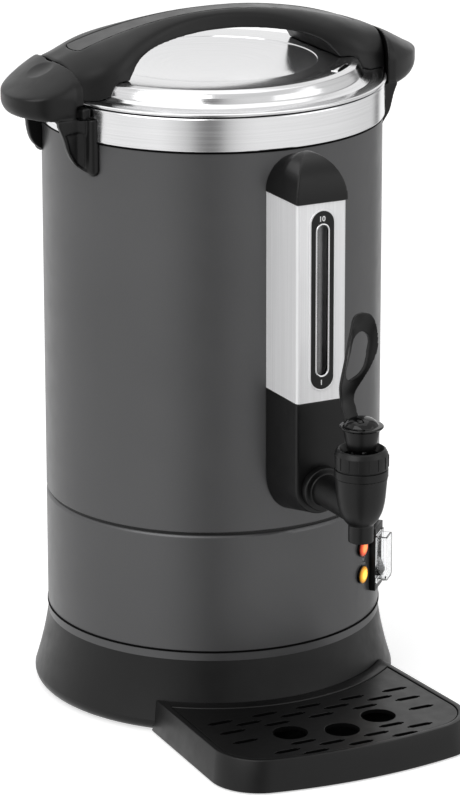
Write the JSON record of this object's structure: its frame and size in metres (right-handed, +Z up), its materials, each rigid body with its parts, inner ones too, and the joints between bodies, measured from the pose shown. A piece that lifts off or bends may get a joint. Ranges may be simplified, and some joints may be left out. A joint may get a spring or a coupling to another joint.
{
  "type": "hot drinks urn",
  "caption": "Double-walled coffee urn with lever tap, level gauge column, bayonet lid with arched handle, side handles and drip tray.",
  "frame": {"origin": "the middle of the overall box on the table plane, under the feet", "axes": "+Z up; -Y towards the user, the way the tap points; X along the side handles, +X to the user's right"},
  "size_m": [0.327, 0.3696, 0.4941],
  "materials": {
    "black_plastic": "fine satin",
    "gloss_black": "gloss",
    "strip": "satin",
    "anthracite": "satin metallic",
    "steel": "polished",
    "plain_steel": "plain",
    "heater": "cast",
    "element": "oxidised",
    "terminal": "ceramic",
    "rubber": "matte",
    "clear": "clear",
    "lamp_amber": "translucent",
    "lamp_red": "translucent"
  },
  "bodies": {
    "urn": {"base_skirt": "black_plastic", "bottom_plate": "plain_steel", "rubber_feet": "rubber", "base_screws": "plain_steel", "lower_shell": "anthracite", "joint_ring": "black_plastic", "upper_shell": "anthracite", "inner_vessel": "plain_steel", "top_band": "steel", "heater_plate": "heater", "heating_element": "element", "tie_rods": "plain_steel", "tie_nuts": "plain_steel", "thermostats": "plain_steel", "thermal_cutout": "black_plastic", "terminal_block": "terminal", "cord_gland": "black_plastic", "switch_frame": "black_plastic", "switch_cover": "clear", "lamp_bezels": "gloss_black", "lamp_lens_low": "lamp_amber", "lamp_lens_high": "lamp_red", "column_top_cap": "black_plastic", "cap_screw": "plain_steel", "column_steel_cover": "steel", "column_lower_cover": "black_plastic", "gauge_bezel": "black_plastic", "gauge_trim": "steel", "sight_tube": "clear", "gauge_seals": "rubber", "gauge_riser": "plain_steel", "tap_body": "black_plastic", "tap_collar": "black_plastic", "tap_nut": "plain_steel", "tap_washer": "rubber", "side_handle_left": "black_plastic", "side_handle_right": "black_plastic", "handle_screws": "plain_steel"},
    "reset": {"reset_button": "black_plastic"},
    "rocker": {"rocker": "gloss_black"},
    "valve": {"tap_stem": "plain_steel", "seat_cup": "rubber", "lever_pin": "plain_steel", "tap_spring": "plain_steel"},
    "lever": {"tap_lever": "black_plastic", "tap_cap": "gloss_black"},
    "lid_seal_ring": {"lid_seal": "rubber"},
    "lid": {"lid_shell": "steel", "lid_handle": "black_plastic", "lid_handle_insert": "strip", "lid_screws": "plain_steel"},
    "tray": {"drip_tray": "black_plastic"},
    "grille": {"drip_grille": "black_plastic"}
  },
  "joints": [
    {"name": "tap_stem_lift", "type": "slide", "parent": "urn", "child": "valve", "axis": [0, 0, 1], "range_m": [0, 0.00253], "stiffness_N_per_m": 300, "springref_m": -0.002, "deforming": ["tap_spring"]},
    {"name": "tap_lever_tilt", "type": "hinge", "parent": "valve", "child": "lever", "pos_m": [0, -0.1675, 0.231], "axis": [1, 0, 0], "range_deg": [0, 25]},
    {"name": "lid_lift", "type": "slide", "parent": "urn", "child": "lid_seal_ring", "axis": [0, 0, 1], "range_m": [0, 0.3]},
    {"name": "lid_turn", "type": "hinge", "parent": "lid_seal_ring", "child": "lid", "pos_m": [0, 0.0535, 0.45], "axis": [0, 0, 1], "range_deg": [0, 25]},
    {"name": "rocker_tilt", "type": "hinge", "parent": "urn", "child": "rocker", "pos_m": [0.0874, -0.028, 0.1005], "axis": [0.682, 0.7314, 0], "range_deg": [0, 18]},
    {"name": "reset_press", "type": "slide", "parent": "urn", "child": "reset", "axis": [0, 0, 1], "range_m": [0, 0.0015], "stiffness_N_per_m": 300, "springref_m": -0.0005},
    {"name": "tray_slide", "type": "slide", "parent": "urn", "child": "tray", "axis": [0, -1, 0], "range_m": [0, 0.25]},
    {"name": "grille_lift", "type": "slide", "parent": "tray", "child": "grille", "axis": [0, 0, 1], "range_m": [0, 0.06]}
  ],
  "couplings": [
    {"joint": "tap_lever_tilt", "follows": "tap_stem_lift", "rad_per_m": 172.4}
  ]
}
